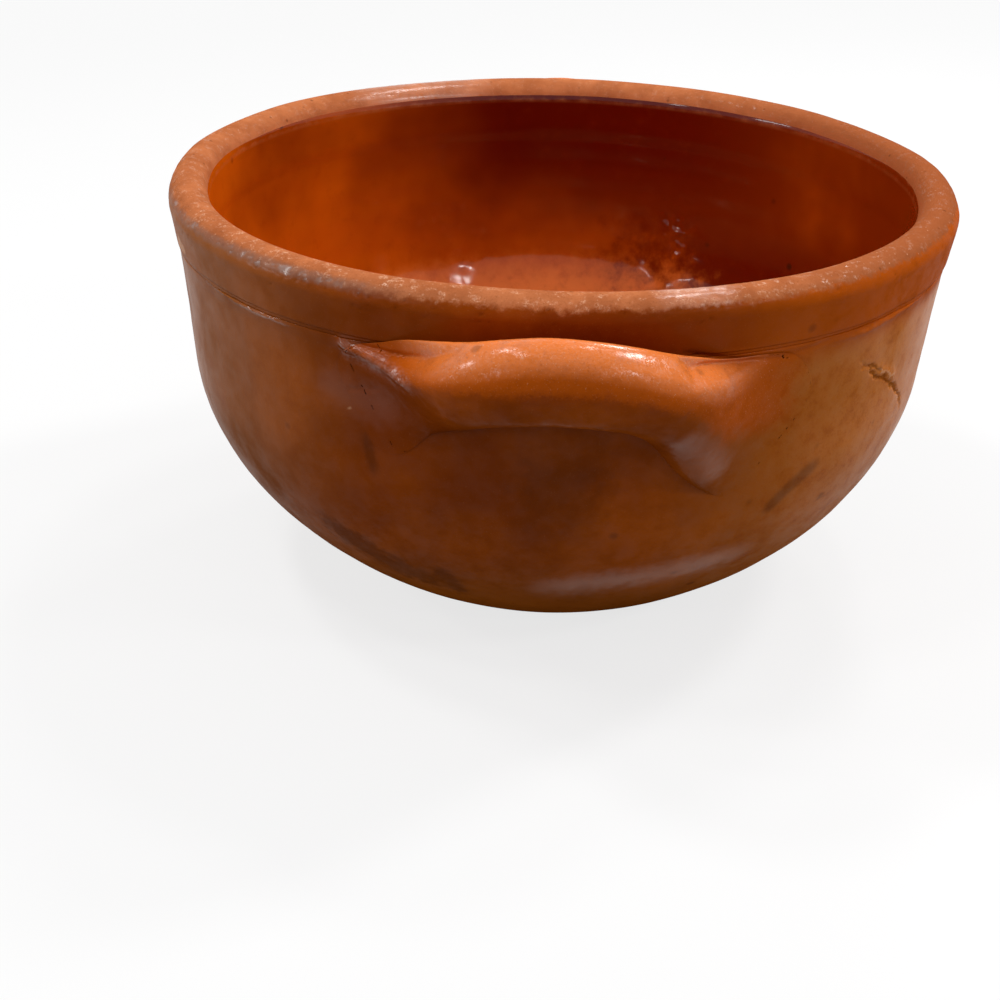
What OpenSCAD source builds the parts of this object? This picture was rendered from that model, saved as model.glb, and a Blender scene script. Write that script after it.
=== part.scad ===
// Terracotta cooking bowl in millimetres, made as the potter makes it: a pressed
// body, a rim coil luted on its edge, two coil handles luted on the wall and a
// coat of glaze inside. The origin is the centre of the foot, +Z is up, and the
// front handle faces -Y.

/* [Rim] */
// Outer diameter over the lip
rim_d = 200; // [170:1:240]
// Height from the table to the top of the lip
bowl_h = 106; // [98:1:125]
// Thickness of the rim coil, whose lip is fully rounded
lip_t = 9.8; // [9:0.2:13]
// Height of the rim coil on the outside, from its seam to the top of the lip
band_h = 14.2; // [12:0.2:20]
// How far the rim coil stands proud of the wall, inside and outside, at its seam
band_step = 0.7; // [0.3:0.1:1.2]

/* [Body] */
// Diameter of the flat foot
foot_d = 90; // [70:1:110]
// How far the seam lies inside the widest line of the lip
neck_in = 1.9; // [1:0.1:4]
// How far the belly lies inside the widest line of the lip
belly_in = 4.5; // [2:0.1:8]
// Height at which the wall turns upright
belly_z = 62; // [54:1:72]
// Angle at which the wall leaves the foot
heel_angle = 20; // [10:1:35]
// How far the heel keeps that angle
heel_pull = 8; // [3:1:16]
// How far the upright wall runs on into the curve of the belly
belly_pull = 38; // [28:1:44]
// Thickness of the wall
wall_t = 7.5; // [6:0.1:9]
// Thickness of the floor
floor_t = 8; // [6:0.1:12]
// Diameter of the level floor inside
well_d = 70; // [56:1:80]
// How far the floor runs on level into the curve inside
well_pull = 26; // [18:1:32]
// How far the upright wall runs on into the curve inside
hollow_pull = 22; // [14:1:30]

/* [Seam] */
// Radius of the two rounded edges that form the groove at the seam outside
groove_r = 1; // [0.6:0.1:1.6]
// How far the seam drops from the outside to the inside
seam_drop = 2.4; // [0:0.1:4]
// Crown of the body's edge, which the rim coil is pressed over
seam_crown = 1.2; // [0.2:0.1:2]

/* [Glaze] */
// Thickness of the glaze coat inside
glaze_t = 0.4; // [0.3:0.05:0.8]
// How far the glaze climbs the inner side of the lip, in degrees
glaze_climb = 40; // [10:5:70]

/* [Handles] */
// How far the middle of the coil lies below the top of the lip
coil_drop = 13; // [10:0.5:20]
// Height of the coil at its middle
coil_h = 17.5; // [12:0.5:19]
// Thickness of the coil at its middle, measured out from the wall
coil_t = 13.5; // [10:0.5:18]
// Clear finger gap between the rim coil and the middle of the handle
finger_gap = 6.2; // [6:0.2:14]
// How far the coil runs on level from the middle, towards the left and the right end
coil_pull = [14, 18]; // [8:1:24]
// Reach of the left and the right end along the wall from the middle
end_reach = [45, 51]; // [38:1:60]
// How far the left and the right end lie below the seam
end_drop = [19, 26]; // [14:1:34]
// Angle below level at which the left and the right end run out
end_angle = [22, 38]; // [10:1:50]
// How far each end keeps that angle
end_pull = 19; // [12:1:24]
// Width of the left and the right pad where the thumb pressed it flat
pad_w = [25, 28]; // [18:1:32]
// Thickness of a pad where it is widest
pad_t = 7; // [4:0.5:10]
// Thickness of a pad at the smeared edge of its end
smear_t = 0.5; // [0.3:0.1:1.5]
// Clearance left for the slip between a handle and the wall
slip_gap = 0.1; // [0.05:0.05:0.4]

/* [Hidden] */

$fn = 96;
clay = [0.62, 0.27, 0.13];
raw_clay = [0.72, 0.38, 0.22];
coil_clay = [0.68, 0.31, 0.14];
glaze = [0.60, 0.20, 0.07];

// Heights and radii worked out from the sizes above
rim_r = rim_d / 2;
lip_r = lip_t / 2;
lip_z = bowl_h - lip_r;
seam_z = bowl_h - band_h;
neck_r = rim_r - neck_in;
belly_r = rim_r - belly_in;
foot_r = foot_d / 2;
well_r = well_d / 2;

// Steps that smooth curves are drawn in
curve_steps = 26;
lip_steps = 20;
edge_steps = 4;
seam_steps = 6;
half_rings = 28;
coil_sides = 24;

// General curves
function lerp(a, b, t) = a + (b - a) * t;
function clamp01(t) = max(0, min(1, t));
function smooth(t) = let (u = clamp01(t)) u * u * (3 - 2 * u);
function unit(v) = v / norm(v);
function heading(a) = [cos(a), sin(a)];
function arc(centre, r, from, to, steps) =
    [for (i = [0:steps]) centre + r * heading(lerp(from, to, i / steps))];
function bezier(a, b, c, d, t) =
    pow(1 - t, 3) * a + 3 * pow(1 - t, 2) * t * b + 3 * (1 - t) * t * t * c + pow(t, 3) * d;
function bezier_run(a, b, c, d, t) =
    3 * pow(1 - t, 2) * (b - a) + 6 * (1 - t) * t * (c - b) + 3 * t * t * (d - c);
function curve(a, b, c, d, steps) = [for (i = [0:steps]) bezier(a, b, c, d, i / steps)];
function reversed(pts) = [for (i = [len(pts) - 1:-1:0]) pts[i]];
function tail(pts) = [for (i = [1:len(pts) - 1]) pts[i]];

// Outer wall of the body, from the foot to the groove
belly = [belly_r, belly_z];
neck = [neck_r, seam_z];
upright = unit(neck - belly);
body_outside = curve(
    [foot_r, 0],
    [foot_r, 0] + heel_pull * heading(heel_angle),
    belly - belly_pull * upright,
    belly,
    curve_steps
);
body_edge_outside = arc(neck - [groove_r, groove_r], groove_r, 0, 90, edge_steps);

// Inner wall of the body, from the middle of the floor to the seam
wall_in = [-wall_t, 0];
seam_inside = neck + wall_in - [0, seam_drop];
body_inside = concat(
    [[0, floor_t]],
    curve(
        [well_r, floor_t],
        [well_r + well_pull, floor_t],
        belly + wall_in - hollow_pull * upright,
        belly + wall_in,
        curve_steps
    ),
    [seam_inside]
);

// Crowned seam that the body and the rim coil share, from outside to inside
seam_outside = neck - [groove_r, 0];
seam = [
    for (i = [0:seam_steps])
        let (t = i / seam_steps)
        lerp(seam_outside, seam_inside, t) + [0, 4 * seam_crown * t * (1 - t)]
];

// Outside and inside of the rim coil
band_low = neck + [band_step, groove_r];
band_outside = concat(
    arc([neck_r - groove_r, seam_z + groove_r], groove_r, 270, 360, edge_steps),
    [band_low],
    arc([rim_r - lip_r, lip_z], lip_r, 0, 180, lip_steps)
);
band_inside = reversed(concat(
    arc([seam_inside[0], seam_inside[1] + band_step], band_step, 270, 180, edge_steps),
    [[rim_r - lip_t, lip_z]]
));

// Inner surface that the glaze covers, from the middle of the floor to the lip
glazed_lip = arc([rim_r - lip_r, lip_z], lip_r, 180, 180 - glaze_climb, edge_steps);
glazed = concat(body_inside, tail(reversed(band_inside)), tail(glazed_lip));
function glaze_normal(i) =
    let (
        before = glazed[max(i - 1, 0)],
        after = glazed[min(i + 1, len(glazed) - 1)],
        run = unit(after - before)
    )
    i == 0 ? [0, 1] : [-run[1], run[0]];
glaze_top = [
    for (i = [0:len(glazed) - 2])
        glazed[i] + glaze_t * glaze_normal(i)
];

module ring_of(outline) {
    rotate_extrude() polygon(outline);
}

module bowl_body() {
    color(clay) ring_of(concat(
        [[0, 0]],
        body_outside,
        body_edge_outside,
        tail(seam),
        tail(reversed(body_inside))
    ));
}

module rim_band() {
    color(raw_clay) ring_of(concat(
        reversed(seam),
        tail(band_outside),
        tail(band_inside)
    ));
}

module inner_glaze() {
    color(glaze) ring_of(concat(glazed, reversed(glaze_top)));
}

// Outer face that the handles are pressed on: height against radius. It runs on
// above the lip at the lean of the rim coil.
lean = (rim_r - neck_r - band_step) / (lip_z - seam_z);
wall_face = concat(
    [for (p = body_outside) [p[1], p[0]]],
    [[seam_z, neck_r + band_step], [lip_z + band_h, rim_r + lean * band_h]]
);
face_step = 0.5;
function face_r(z) = lookup(z, wall_face);
function face_normal(z) =
    unit([2 * face_step, face_r(z - face_step) - face_r(z + face_step)]);

// A point of the handle: along the wall, up it and out from it. Where the coil
// is lifted off, it stands straight out from the face at the height of its middle.
function on_wall(along, z, out, lift, middle_z) =
    let (
        n = unit(lerp(face_normal(z), [1, 0], lift)),
        r = face_r(lerp(z, middle_z, lift)) + out * n[0],
        a = along / neck_r * 180 / PI - 90
    )
    [r * cos(a), r * sin(a), z + out * n[1]];

// Shares of the half length at which the coil nears the wall, spreads and thins out
lift_share = [0.05, 0.65];
spread_share = [0.25, 0.75];
smear_share = [0.62, 1];
// Width of the end of the coil, as a share of the pad
tip_w = 0.5;
// How hollow the pad's upper and lower flanks are smeared
upper_smear = 2.2;
lower_smear = 1;

function share(t, from_to) = smooth((t - from_to[0]) / (from_to[1] - from_to[0]));

// One ring of the coil; side is -1 for the left half and 1 for the right half
function coil_ring(side, t) =
    let (
        k = side < 0 ? 0 : 1,
        middle = [0, bowl_h - coil_drop],
        end = [end_reach[k], seam_z - end_drop[k]],
        level = middle + [coil_pull[k], 0],
        runout = end - end_pull * heading(-end_angle[k]),
        c = bezier(middle, level, runout, end, t),
        run = unit(bezier_run(middle, level, runout, end, t)),
        across = [-run[1], run[0]],
        lift = 1 - share(t, lift_share),
        spread = share(t, spread_share),
        tip = sqrt(1 - pow(1 - clamp01((1 - t) / (1 - spread_share[1])), 2)),
        half_w = lerp(coil_h, pad_w[k], spread) / 2 * lerp(tip_w, 1, tip),
        crest = lerp(lerp(coil_t, pad_t, spread), smear_t, share(t, smear_share))
    )
    [
        for (i = [0:coil_sides - 1])
            let (
                a = 360 * i / coil_sides,
                p = c + half_w * cos(a) * across,
                flank = lerp(1, cos(a) > 0 ? upper_smear : lower_smear, spread),
                loose = finger_gap + coil_t / 2 * (1 + sin(a)),
                pressed = slip_gap + crest * pow(max(sin(a), 0), flank)
            )
            on_wall(side * p[0], p[1], lerp(pressed, loose, lift), lift, c[1])
    ];

// Skin of a closed tube through rings that all have the same number of points
module tube(rings) {
    n = len(rings[0]);
    last = len(rings) - 1;
    sides = [
        for (j = [0:last - 1])
            for (i = [0:n - 1])
                let (a = j * n + i, b = j * n + (i + 1) % n)
                each [[a, b, b + n], [a, b + n, a + n]]
    ];
    cap_a = [[for (i = [n - 1:-1:0]) i]];
    cap_b = [[for (i = [0:n - 1]) last * n + i]];
    polyhedron([for (r = rings) each r], concat(sides, cap_a, cap_b), convexity = 6);
}

module coil_handle() {
    left = [for (j = [half_rings:-1:1]) coil_ring(-1, j / half_rings)];
    right = [for (j = [0:half_rings]) coil_ring(1, j / half_rings)];
    tube(concat(left, right));
}

module front_handle() {
    color(coil_clay) coil_handle();
}

module rear_handle() {
    color(coil_clay) rotate([0, 0, 180]) coil_handle();
}

bowl_body();
rim_band();
front_handle();
rear_handle();
inner_glaze();
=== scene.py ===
"""Looks of a hand-made terracotta cooking bowl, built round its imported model.

The pieces are thrown and pressed the way the potter made them: a body turned on
its axis, a rim coil luted on its edge, two rolled coils bent into handles and a
coat of glaze poured inside. All lengths are metres in the frame of the model: the
origin is the centre of the foot, +Z is up and the front handle faces -Y.
"""

from __future__ import annotations

import logging
import math
from dataclasses import dataclass, field
from enum import Enum

import bpy
import numpy as np
from mathutils import Matrix, Vector, noise

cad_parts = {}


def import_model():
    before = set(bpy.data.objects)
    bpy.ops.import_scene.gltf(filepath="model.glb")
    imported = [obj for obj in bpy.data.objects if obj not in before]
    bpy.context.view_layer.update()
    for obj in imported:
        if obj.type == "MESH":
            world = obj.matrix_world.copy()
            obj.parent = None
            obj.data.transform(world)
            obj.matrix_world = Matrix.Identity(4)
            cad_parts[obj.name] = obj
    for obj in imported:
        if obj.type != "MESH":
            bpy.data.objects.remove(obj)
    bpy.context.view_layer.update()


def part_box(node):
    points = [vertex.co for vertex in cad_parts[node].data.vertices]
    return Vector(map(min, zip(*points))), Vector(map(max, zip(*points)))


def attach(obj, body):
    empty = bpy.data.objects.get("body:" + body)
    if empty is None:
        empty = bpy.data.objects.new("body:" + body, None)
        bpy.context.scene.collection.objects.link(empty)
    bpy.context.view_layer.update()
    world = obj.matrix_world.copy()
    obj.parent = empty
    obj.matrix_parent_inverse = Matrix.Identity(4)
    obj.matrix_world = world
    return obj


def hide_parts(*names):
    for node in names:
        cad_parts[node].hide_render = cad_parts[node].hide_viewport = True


LOG = logging.getLogger("cooking_bowl")
MM = 0.001
GLAZE_INDEX = 1.5
CLAY_GLOSS = 0.0

Points = np.ndarray
Colour = tuple[float, float, float]
Zone = tuple[float, float, float, float]


# Small helpers for shapes


def smooth(low: float, high: float, value: np.ndarray | float) -> np.ndarray:
    """Soft step that is 0 up to low and 1 from high on.

    Args:
        low: Value at which the step starts.
        high: Value at which it ends; below low, the step falls.
        value: The numbers to step.

    Returns:
        Numbers from 0 to 1.
    """
    t = np.clip((np.asarray(value, float) - low) / (high - low), 0, 1)
    return t * t * (3 - 2 * t)


def hump(value: np.ndarray, centre: float, width: float) -> np.ndarray:
    """Bell of height 1 at centre, about width wide on each side."""
    return np.exp(-(((value - centre) / width) ** 2))


def lumps(places: Points, size: float, octaves: int = 2, seed: int = 0) -> np.ndarray:
    """Smooth random unevenness of about -1 to 1.

    Args:
        places: Rows of x, y, z in metres.
        size: Size of the lumps in metres.
        octaves: How many finer layers are added.
        seed: Moves the pattern, so that two of them differ.

    Returns:
        One number for each place.
    """
    shifted = places / size + np.array([seed * 7.3, seed * 3.1, seed * 5.7])
    return np.array([noise.fractal(p, 0.8, 2.0, octaves) for p in shifted.tolist()])


def bezier(a: Points, b: Points, c: Points, d: Points, steps: int = 240) -> Points:
    """Points along a cubic curve from a to d, pulled towards b and c."""
    t = np.linspace(0, 1, steps)[:, None]
    a, b, c, d = (np.asarray(p, float) for p in (a, b, c, d))
    return (1 - t) ** 3 * a + 3 * (1 - t) ** 2 * t * b + 3 * (1 - t) * t**2 * c + t**3 * d


def arc(centre: Points, radius: float, start: float, end: float, steps: int = 40) -> Points:
    """Points along a round stretch, from the angle start to the angle end in degrees."""
    a = np.radians(np.linspace(start, end, steps))[:, None]
    return np.asarray(centre, float) + radius * np.hstack([np.cos(a), np.sin(a)])


def spaced(line: Points, gap: float) -> Points:
    """The same line with points about one gap apart, ends kept."""
    steps = np.linalg.norm(np.diff(line, axis=0), axis=1)
    run = np.concatenate([[0], np.cumsum(steps)])
    at = np.linspace(0, run[-1], max(2, round(run[-1] / gap) + 1))
    return np.stack([np.interp(at, run, line[:, k]) for k in (0, 1)], 1)


def joined(*lines: Points) -> Points:
    """One line through several, without the points that they share."""
    whole = [lines[0]]
    for line in lines[1:]:
        same = np.linalg.norm(line[0] - whole[-1][-1]) < 1e-6
        whole.append(line[1:] if same else line)
    return np.vstack(whole)


def heading(degrees: float) -> np.ndarray:
    """Unit vector at that angle above level."""
    return np.array([math.cos(math.radians(degrees)), math.sin(math.radians(degrees))])


def azimuth_of(places: Points) -> np.ndarray:
    """Angle round the bowl in degrees, from the front handle towards +X."""
    return np.degrees(np.arctan2(places[:, 0], -places[:, 1]))


def radius_of(places: Points) -> np.ndarray:
    """Distance from the axis of the bowl."""
    return np.hypot(places[:, 0], places[:, 1])


def turned(azimuth: np.ndarray, centre: float) -> np.ndarray:
    """Azimuth measured from centre, between -180 and 180 degrees."""
    return (azimuth - centre + 180) % 360 - 180


def inside_zone(places: Points, zone: Zone) -> np.ndarray:
    """Whether each place lies between the zone's two azimuths and its two heights."""
    azimuth, height = azimuth_of(places), places[:, 2]
    around = (azimuth > zone[0]) & (azimuth < zone[1])
    return around & (height > zone[2]) & (height < zone[3])


# Modelling by hand


class Bench:
    """The potter's few moves, each made with Blender's own operators."""

    @staticmethod
    def clear() -> None:
        """Leave edit mode and select nothing."""
        if bpy.context.object and bpy.context.object.mode == "EDIT":
            bpy.ops.object.mode_set(mode="OBJECT")
        bpy.ops.object.select_all(action="DESELECT")

    @classmethod
    def throw(cls, name: str, outline: Points, turns: int) -> bpy.types.Object:
        """Turn a closed outline round the axis of the bowl.

        Args:
            name: Name of the piece.
            outline: Rows of radius and height, closed from the last to the first.
            turns: How many steps the turn has.

        Returns:
            The turned piece, with its normals outwards.
        """
        cls.clear()
        first = outline[0]
        bpy.ops.mesh.primitive_plane_add(size=MM, location=(first[0], 0, first[1]))
        piece = bpy.context.object
        piece.name = piece.data.name = name
        bpy.ops.object.transform_apply(location=True)
        bpy.ops.object.mode_set(mode="EDIT")
        bpy.ops.mesh.select_all(action="SELECT")
        bpy.ops.mesh.merge(type="CENTER")
        closing = first[0] > 0 or outline[-1][0] > 0
        ring = np.vstack([outline, outline[:1]]) if closing else outline
        for step in np.diff(ring, axis=0):
            move = (float(step[0]), 0.0, float(step[1]))
            bpy.ops.mesh.extrude_region_move(TRANSFORM_OT_translate={"value": move})
        bpy.ops.mesh.select_all(action="SELECT")
        bpy.ops.mesh.remove_doubles(threshold=1e-6)
        bpy.ops.object.mode_set(mode="OBJECT")
        screw = piece.modifiers.new("turn", "SCREW")
        screw.steps = screw.render_steps = turns
        screw.use_merge_vertices = True
        screw.merge_threshold = 1e-6
        bpy.ops.object.modifier_apply(modifier=screw.name)
        cls.tidy(piece)
        return piece

    @classmethod
    def roll(cls, name: str, cuts: tuple[int, ...], sides: int) -> bpy.types.Object:
        """Roll a straight coil along X from -1 to 1, with radius 1, ready to be pressed.

        Args:
            name: Name of the piece.
            cuts: How often it is cut into rings, one round of cutting after another.
            sides: How many sides a ring has.

        Returns:
            The coil, its ends closed.
        """
        cls.clear()
        quarter_turn = math.pi / 2
        bpy.ops.mesh.primitive_cylinder_add(
            vertices=sides, radius=1, depth=2, rotation=(0, quarter_turn, 0)
        )
        piece = bpy.context.object
        piece.name = piece.data.name = name
        bpy.ops.object.transform_apply(rotation=True)
        mesh = piece.data
        for count in cuts:
            bpy.ops.object.mode_set(mode="EDIT")
            bpy.ops.mesh.select_mode(type="EDGE")
            bpy.ops.mesh.select_all(action="DESELECT")
            bpy.ops.object.mode_set(mode="OBJECT")
            for edge in mesh.edges:
                a, b = (mesh.vertices[i].co for i in edge.vertices)
                edge.select = abs(a.x - b.x) > MM
            bpy.ops.object.mode_set(mode="EDIT")
            bpy.ops.mesh.subdivide(number_cuts=count)
            bpy.ops.object.mode_set(mode="OBJECT")
        return piece

    @classmethod
    def refine(cls, piece: bpy.types.Object, chosen: np.ndarray, cuts: int) -> None:
        """Cut the faces whose points are all chosen into smaller ones.

        Args:
            piece: The piece to refine.
            chosen: One truth value for each point of its mesh.
            cuts: How many cuts each edge gets.
        """
        cls.clear()
        bpy.context.view_layer.objects.active = piece
        bpy.ops.object.mode_set(mode="EDIT")
        bpy.ops.mesh.select_mode(type="FACE")
        bpy.ops.mesh.select_all(action="DESELECT")
        bpy.ops.object.mode_set(mode="OBJECT")
        for face in piece.data.polygons:
            face.select = all(chosen[i] for i in face.vertices)
        bpy.ops.object.mode_set(mode="EDIT")
        bpy.ops.mesh.subdivide(number_cuts=cuts, quadcorner="INNERVERT")
        bpy.ops.object.mode_set(mode="OBJECT")

    @classmethod
    def tidy(cls, piece: bpy.types.Object) -> None:
        """Merge doubles, turn the faces outwards and shade the piece smooth."""
        cls.clear()
        bpy.context.view_layer.objects.active = piece
        piece.select_set(True)
        bpy.ops.object.mode_set(mode="EDIT")
        bpy.ops.mesh.select_mode(type="VERT")
        bpy.ops.mesh.select_all(action="SELECT")
        bpy.ops.mesh.remove_doubles(threshold=1e-6)
        bpy.ops.mesh.normals_make_consistent(inside=False)
        bpy.ops.object.mode_set(mode="OBJECT")
        bpy.ops.object.shade_smooth()

    @staticmethod
    def places(piece: bpy.types.Object) -> Points:
        """Rows of x, y, z, one for each point of the piece."""
        flat = np.empty(len(piece.data.vertices) * 3)
        piece.data.vertices.foreach_get("co", flat)
        return flat.reshape(-1, 3)

    @staticmethod
    def move(piece: bpy.types.Object, places: Points) -> None:
        """Put the points of the piece at these places."""
        piece.data.vertices.foreach_set("co", places.astype(np.float32).ravel())
        piece.data.update()

    @staticmethod
    def mark(piece: bpy.types.Object, name: str, values: np.ndarray) -> None:
        """Keep one number for each point as an attribute that the finish reads."""
        layer = piece.data.attributes.new(name, "FLOAT", "POINT")
        layer.data.foreach_set("value", values.astype(np.float32))


# The form that all the pieces share


@dataclass(frozen=True)
class BowlForm:
    """Sizes of the bowl, with its outlines as rows of radius and height."""

    rim_r: float
    height: float
    neck_r: float
    seam_low: float
    lip_t: float = 9.8 * MM
    band_step: float = 0.7 * MM
    foot_r: float = 45 * MM
    belly_in: float = 4.5 * MM
    belly_z: float = 62 * MM
    heel_angle: float = 20
    heel_pull: float = 8 * MM
    belly_pull: float = 38 * MM
    wall_t: float = 7.5 * MM
    floor_t: float = 8 * MM
    well_r: float = 35 * MM
    well_pull: float = 26 * MM
    hollow_pull: float = 22 * MM
    groove_r: float = 1 * MM
    seam_drop: float = 2.4 * MM
    seam_crown: float = 1.2 * MM
    glaze_t: float = 0.4 * MM
    glaze_dip: float = 0.15 * MM
    glaze_climb: float = 40
    ledge_fill: float = 0.75

    @classmethod
    def of_frame(cls) -> BowlForm:
        """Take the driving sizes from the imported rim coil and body."""
        rim_low, rim_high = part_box("rim_band")
        body_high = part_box("bowl_body")[1]
        return cls(rim_high.x, rim_high.z, body_high.x, rim_low.z)

    @property
    def lip_r(self) -> float:
        """Radius of the rounded lip."""
        return self.lip_t / 2

    @property
    def lip_centre(self) -> np.ndarray:
        """Middle of the rounded lip."""
        return np.array([self.rim_r - self.lip_r, self.height - self.lip_r])

    @property
    def seam_z(self) -> float:
        """Height of the seam on the outside."""
        return self.seam_low + self.seam_drop

    @property
    def belly(self) -> np.ndarray:
        """Point at which the wall turns upright."""
        return np.array([self.rim_r - self.belly_in, self.belly_z])

    @property
    def neck(self) -> np.ndarray:
        """Outer end of the seam, without its groove."""
        return np.array([self.neck_r, self.seam_z])

    @property
    def upright(self) -> np.ndarray:
        """Direction of the wall above the belly."""
        run = self.neck - self.belly
        return run / np.linalg.norm(run)

    @property
    def seam_inside(self) -> np.ndarray:
        """Inner end of the seam."""
        return self.neck - np.array([self.wall_t, self.seam_drop])

    def outside(self) -> Points:
        """Outer wall of the body from the foot to the neck."""
        foot = np.array([self.foot_r, 0])
        heel = foot + self.heel_pull * heading(self.heel_angle)
        return bezier(foot, heel, self.belly - self.belly_pull * self.upright, self.belly)

    def inside(self) -> Points:
        """Inner wall of the body from the edge of the level floor to the belly."""
        well = np.array([self.well_r, self.floor_t])
        top = self.belly - np.array([self.wall_t, 0])
        level = well + np.array([self.well_pull, 0])
        return bezier(well, level, top - self.hollow_pull * self.upright, top)

    def seam(self) -> Points:
        """Crowned seam between body and rim coil, from outside to inside."""
        outer = self.neck - np.array([self.groove_r, 0])
        t = np.linspace(0, 1, 12)[:, None]
        line = outer + (self.seam_inside - outer) * t
        return line + np.hstack([0 * t, 4 * self.seam_crown * t * (1 - t)])

    def body_outline(self) -> Points:
        """Closed outline of the body, from the middle of its underside."""
        groove = self.groove_r
        edge = arc(self.neck - groove, groove, 0, 90)
        return joined(
            spaced(np.array([[0, 0], [self.foot_r, 0]]), 4 * MM),
            spaced(self.outside(), 1.15 * MM),
            spaced(np.vstack([self.belly, edge[0]]), 1.05 * MM),
            spaced(edge, 0.4 * MM),
            spaced(self.seam(), 1.6 * MM),
            spaced(np.vstack([self.seam_inside, self.inside()[-1]]), 4 * MM),
            spaced(self.inside()[::-1], 4 * MM),
            spaced(np.array([[self.well_r, self.floor_t], [0, self.floor_t]]), 4 * MM),
        )

    def band_outline(self, gap: float) -> Points:
        """Closed outline of the rim coil, from the inner end of the seam."""
        groove, step = self.groove_r, self.band_step
        below = arc(self.neck + np.array([-groove, groove]), groove, 270, 360)
        ledge = below[-1] + np.array([step, 0])
        lip = arc(self.lip_centre, self.lip_r, 0, 180, 120)
        shoulder = arc(self.seam_inside + np.array([0, step]), step, 180, 270)
        skin = np.vstack([below, ledge[None], lip, shoulder])
        return joined(spaced(self.seam()[::-1], 1.6 * MM), spaced(skin, gap))[:-1]

    def glazed_line(self) -> Points:
        """Surface that the glaze covers, from the middle of the floor to the lip."""
        step = self.band_step
        shoulder = arc(self.seam_inside + np.array([0, step]), step, 270, 180)
        lip = arc(self.lip_centre, self.lip_r, 180, 180 - self.glaze_climb)
        floor = np.array([[0, self.floor_t], [self.well_r, self.floor_t]])
        return joined(floor, self.inside(), self.seam_inside[None], shoulder, lip)

    def glaze_outline(self, gap: float) -> Points:
        """Closed outline of the coat of glaze, thinning to nothing at its edge."""
        top = spaced(self.glazed_line(), gap)
        top = joined(top[:-2], spaced(top[-2:], gap / 5))
        run = np.gradient(top, axis=0)
        run /= np.linalg.norm(run, axis=1)[:, None]
        normal = np.stack([-run[:, 1], run[:, 0]], 1)
        left = np.linalg.norm(top - top[-1], axis=1)[:, None]
        thick = self.glaze_t * smooth(0, 13 * MM, left)
        thick -= self.glaze_dip * smooth(2.4 * MM, 0.3 * MM, left)
        seam_r, seam_z = self.seam_inside
        ledge = np.clip(top[:, :1] - seam_r + self.band_step, 0, MM)
        ledge *= smooth(seam_z - 12 * MM, seam_z, top[:, 1:])
        thick += self.ledge_fill * ledge * (top[:, 1:] < seam_z + self.band_step)
        front = top + normal * thick
        front[0] = [0, self.floor_t + self.glaze_t]
        back = (top - normal * (self.glaze_dip + 0.05 * MM))[::-3]
        back = np.vstack([back[back[:, 0] > MM], [0, self.floor_t - self.glaze_dip]])
        return joined(front, back)

    def outer_face(self, height: np.ndarray) -> np.ndarray:
        """Radius of the outer skin at each height, across the seam without its groove."""
        knots = np.vstack([self.outside(), self.neck, self.neck + [self.band_step, MM]])
        top = np.array([self.rim_r, self.lip_centre[1]])
        knots = np.vstack([knots, top])
        return np.interp(height, knots[:, 1], knots[:, 0])

    def inner_face(self, height: np.ndarray) -> np.ndarray:
        """Radius of the inner skin at each height, across the seam."""
        above = np.array([self.rim_r - self.lip_t, self.lip_centre[1]])
        knots = np.vstack([self.inside(), self.seam_inside, above])
        return np.interp(height, knots[:, 1], knots[:, 0])

    def wall_face(self) -> tuple[np.ndarray, np.ndarray]:
        """Heights and radii of the outer face that the handles are pressed on."""
        curve = self.outside()
        stand = self.neck_r + self.band_step
        lean = (self.rim_r - stand) / (self.lip_centre[1] - self.seam_z)
        above = 14 * MM
        heights = [*curve[:, 1], self.seam_z, self.lip_centre[1] + above]
        radii = [*curve[:, 0], stand, self.rim_r + lean * above]
        return np.array(heights), np.array(radii)


# What the hand, the thumb and long use did to it


@dataclass(frozen=True)
class Stroke:
    """One line on the outside, such as a tear, a pinched ridge or a run of glaze.

    Its path is rows of azimuth in degrees and height in millimetres. The other sizes
    are metres: width is to each side, rise is above the wall and torn is how far the
    line strays from its path. A mark of the handles is there on both of them.
    """

    path: tuple[tuple[float, float], ...]
    width: float
    rise: float = 0.0
    torn: float = 0.0
    fade: float = 0.15
    on_handles: bool = False

    def cover(self, form: BowlForm, places: Points) -> np.ndarray:
        """How much of the line is at each place, from 0 to 1."""
        scale = form.neck_r * math.pi / 180
        azimuth = azimuth_of(places)
        if self.on_handles:
            azimuth = turned(azimuth, np.where(np.abs(azimuth) > 90, 180, 0))
        here = np.stack([azimuth * scale, places[:, 2]], 1)
        knots = np.array([[a * scale, z * MM] for a, z in self.path])
        reach = 3 * self.width + self.torn
        near = ((here > knots.min(0) - reach) & (here < knots.max(0) + reach)).all(1)
        spots = here[near]
        if self.torn and len(spots):
            stray = [lumps(places[near], 2.2 * MM, 3, seed) for seed in (31, 32)]
            spots = spots + self.torn * np.stack(stray, 1)
        away = np.full(len(spots), 1.0)
        share = np.zeros(len(spots))
        for k, (a, b) in enumerate(zip(knots[:-1], knots[1:])):
            run = b - a
            t = np.clip((spots - a) @ run / (run @ run), 0, 1)
            gap = np.linalg.norm(spots - a - t[:, None] * run, axis=1)
            share = np.where(gap < away, (k + t) / (len(knots) - 1), share)
            away = np.minimum(away, gap)
        ends = smooth(0, self.fade, share) * smooth(1, 1 - self.fade, share)
        cover = np.zeros(len(places))
        cover[near] = hump(away, 0, self.width) * ends
        return cover


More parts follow.
